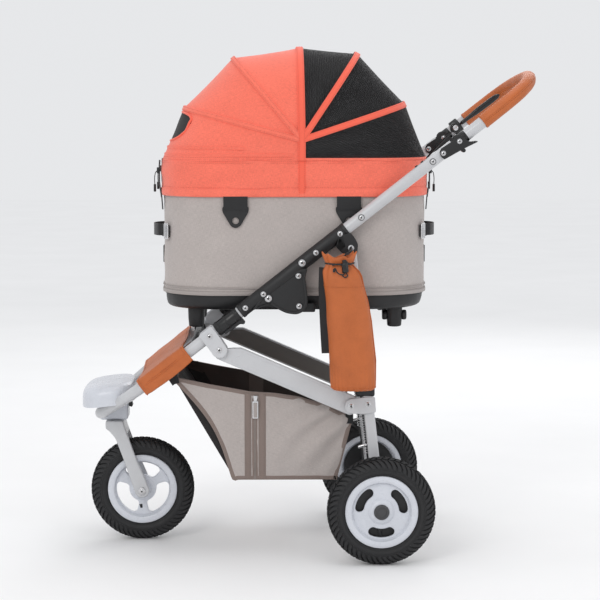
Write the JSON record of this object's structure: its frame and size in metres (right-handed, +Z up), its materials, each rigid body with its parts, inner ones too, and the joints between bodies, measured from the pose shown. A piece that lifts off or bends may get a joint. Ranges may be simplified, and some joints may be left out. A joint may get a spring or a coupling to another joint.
{
  "type": "pet stroller",
  "caption": "Three-wheeled pet stroller with a lift-off padded cot, folding hood, under-basket, padded bow handle and a hanging bottle bag.",
  "frame": {"origin": "on the floor, below the centre of the bounding box", "axes": "+X from the front wheel towards the handle, +Y towards the pusher's right, +Z up"},
  "size_m": [0.9603, 0.533, 1.0518],
  "materials": {
    "frame_paint": "satin light grey-white paint",
    "black_plastic": "moulded, fine satin",
    "white_plastic": "semi-gloss",
    "steel": "bright zinc",
    "tyre_rubber": "air-filled tyre, blocked shoulders",
    "tan_leather": "fine grained",
    "coral_fabric": "melange woven",
    "grey_fabric": "melange woven",
    "black_mesh": "open mesh"
  },
  "bodies": {
    "chassis": {"handle_tube_left": "frame_paint", "handle_tube_right": "frame_paint", "bracket_left": "black_plastic", "bracket_right": "black_plastic", "rear_leg_left": "frame_paint", "rear_leg_right": "frame_paint", "rear_plate_left": "frame_paint", "rear_plate_right": "frame_paint", "hinge_housing_left": "black_plastic", "hinge_housing_right": "black_plastic", "rear_axle": "steel", "rear_cross_bar": "black_plastic", "brake_cable_left": "black_plastic", "brake_cable_right": "black_plastic"},
    "lock_left": {"lock_sleeve_left": "black_plastic"},
    "lock_right": {"lock_sleeve_right": "black_plastic"},
    "side_rails": {"rail_left": "frame_paint", "rail_right": "frame_paint", "basket": "grey_fabric"},
    "front_frame": {"front_tube": "frame_paint", "joint_plate_left": "frame_paint", "joint_plate_right": "frame_paint", "front_cross_bar": "black_plastic", "front_cover": "tan_leather", "head_block": "white_plastic", "fender": "white_plastic"},
    "swivel_catch": {"swivel_lock": "black_plastic"},
    "caster": {"fork": "frame_paint"},
    "front_wheel": {"front_rim": "white_plastic", "front_tyre": "tyre_rubber"},
    "rear_wheel_left": {"rear_rim_left": "white_plastic", "rear_tyre_left": "tyre_rubber", "hub_cap_left": "black_plastic"},
    "rear_wheel_right": {"rear_rim_right": "white_plastic", "rear_tyre_right": "tyre_rubber", "hub_cap_right": "black_plastic"},
    "upper_handle": {"handle_bow": "frame_paint", "handle_grip": "tan_leather", "brake_clamp": "black_plastic"},
    "lever": {"brake_lever": "black_plastic"},
    "cot": {"cot_wall": "grey_fabric", "cot_band": "coral_fabric", "tray": "black_plastic", "mat": "grey_fabric", "hood_stay_left": "black_plastic", "hood_stay_right": "black_plastic", "cot_hook_front_left": "black_plastic", "cot_hook_rear_left": "black_plastic", "cot_hook_front_right": "black_plastic", "cot_hook_rear_right": "black_plastic", "hood_rib_3": "steel", "hood_front": "coral_fabric", "hood_rear": "black_mesh"},
    "rib_1": {"hood_rib_1": "steel"},
    "rib_2": {"hood_rib_2": "steel"},
    "rib_4": {"hood_rib_4": "steel"},
    "rib_5": {"hood_rib_5": "steel"},
    "bag": {"bottle_bag": "tan_leather"}
  },
  "joints": [
    {"name": "frame_fold", "type": "hinge", "parent": "chassis", "child": "front_frame", "pos_m": [-0.2043, 0, 0.463], "axis": [0, -1, 0], "range_deg": [0, 55], "deforming": ["basket"]},
    {"name": "rail_follow", "type": "hinge", "parent": "chassis", "child": "side_rails", "pos_m": [0.0853, 0, 0.3184], "axis": [0, -1, 0], "range_deg": [-6.5, 0]},
    {"name": "lock_slide_left", "type": "slide", "parent": "chassis", "child": "lock_left", "axis": [0.7874, 0, 0.6165], "range_m": [0, 0.004], "stiffness_N_per_m": 300},
    {"name": "lock_slide_right", "type": "slide", "parent": "chassis", "child": "lock_right", "axis": [0.7874, 0, 0.6165], "range_m": [0, 0.004], "stiffness_N_per_m": 300},
    {"name": "swivel_catch_turn", "type": "hinge", "parent": "front_frame", "child": "swivel_catch", "pos_m": [-0.3834, 0, 0.3035], "axis": [0, -1, 0], "range_deg": [0, 40]},
    {"name": "caster_swivel", "type": "hinge", "parent": "front_frame", "child": "caster", "pos_m": [-0.413, 0, 0.262], "axis": [0, 0, 1], "continuous": true},
    {"name": "front_wheel_spin", "type": "hinge", "parent": "caster", "child": "front_wheel", "pos_m": [-0.3554, 0, 0.111], "axis": [0, 1, 0], "continuous": true},
    {"name": "rear_wheel_left_spin", "type": "hinge", "parent": "chassis", "child": "rear_wheel_left", "pos_m": [0.145, -0.2425, 0.111], "axis": [0, 1, 0], "continuous": true},
    {"name": "rear_wheel_right_spin", "type": "hinge", "parent": "chassis", "child": "rear_wheel_right", "pos_m": [0.145, 0.2425, 0.111], "axis": [0, 1, 0], "continuous": true},
    {"name": "handle_fold", "type": "hinge", "parent": "chassis", "child": "upper_handle", "pos_m": [0.3031, 0, 0.8603], "axis": [0, -1, 0], "range_deg": [0, 80]},
    {"name": "brake_squeeze", "type": "hinge", "parent": "upper_handle", "child": "lever", "pos_m": [0.3338, 0.146, 0.8868], "axis": [-0.6165, 0, 0.7874], "range_deg": [0, 6], "stiffness_Nm_per_rad": 1.5},
    {"name": "cot_lift", "type": "slide", "parent": "chassis", "child": "cot", "axis": [0, 0, 1], "range_m": [0, 0.05]},
    {"name": "hood_rib_2_turn", "type": "hinge", "parent": "cot", "child": "rib_2", "pos_m": [-0.015, 0, 0.8618], "axis": [0, 1, 0], "range_deg": [0, 25], "deforming": ["hood_front"]},
    {"name": "hood_rib_1_turn", "type": "hinge", "parent": "rib_2", "child": "rib_1", "pos_m": [-0.015, 0, 0.8618], "axis": [0, 1, 0], "range_deg": [0, 28.75], "deforming": ["hood_front"]},
    {"name": "hood_rib_4_turn", "type": "hinge", "parent": "cot", "child": "rib_4", "pos_m": [-0.015, 0, 0.8618], "axis": [0, -1, 0], "range_deg": [0, 25], "deforming": ["hood_rear"]},
    {"name": "hood_rib_5_turn", "type": "hinge", "parent": "rib_4", "child": "rib_5", "pos_m": [-0.015, 0, 0.8618], "axis": [0, -1, 0], "range_deg": [0, 28.75], "deforming": ["hood_rear"]},
    {"name": "bag_swing", "type": "hinge", "parent": "chassis", "child": "bag", "pos_m": [0.084, -0.2, 0.6437], "axis": [0, 1, 0], "range_deg": [-15, 15]}
  ],
  "couplings": [
    {"joint": "rail_follow", "follows": "frame_fold", "ratio": -0.1124},
    {"joint": "hood_rib_1_turn", "follows": "hood_rib_2_turn", "ratio": 1.15},
    {"joint": "hood_rib_5_turn", "follows": "hood_rib_4_turn", "ratio": 1.15}
  ]
}
